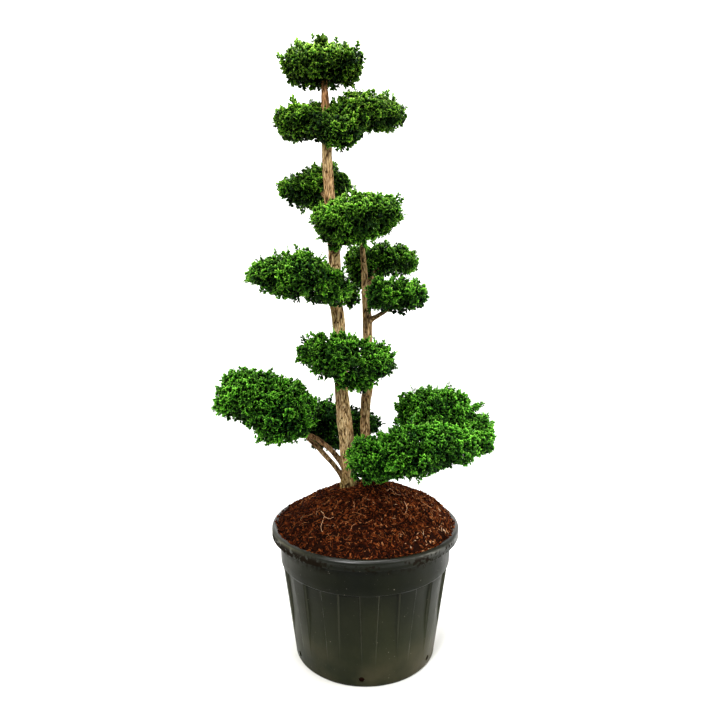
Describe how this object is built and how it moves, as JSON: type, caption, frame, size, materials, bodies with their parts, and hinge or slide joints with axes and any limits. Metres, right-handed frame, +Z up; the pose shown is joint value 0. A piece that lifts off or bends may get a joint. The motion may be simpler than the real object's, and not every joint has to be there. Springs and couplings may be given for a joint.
{
  "type": "hinoki cypress cloud tree with pot",
  "caption": "Cloud-pruned evergreen tree with leaning trunks and separate leafy pads, standing in a round nursery pot filled with bark mulch.",
  "frame": {"origin": "centre of the pot's underside, on the surface that it stands on", "axes": "+Z up the tree, -Y the front that the picture shows, +X to the right as seen from the front"},
  "size_m": [0.9992, 0.6828, 2.1958],
  "materials": {
    "pot": "dull dark green-grey plastic, dusty and stained near the foot",
    "mulch": "coarse reddish-brown shredded bark",
    "bark": "fissured tan bark",
    "foliage": "fine scale leaves in flat sprays; fabric stands in for leafy growth"
  },
  "bodies": {
    "root": {"pot": "pot", "soil": "mulch", "wood": "bark", "foliage_crown": "foliage", "foliage_upper": "foliage", "foliage_back_left": "foliage", "foliage_front_mid": "foliage", "foliage_left_mid": "foliage", "foliage_back_right": "foliage", "foliage_right_mid": "foliage", "foliage_front_low": "foliage", "foliage_left_low": "foliage", "foliage_back_low": "foliage", "foliage_right_back": "foliage", "foliage_right_front": "foliage"}
  },
  "joints": []
}
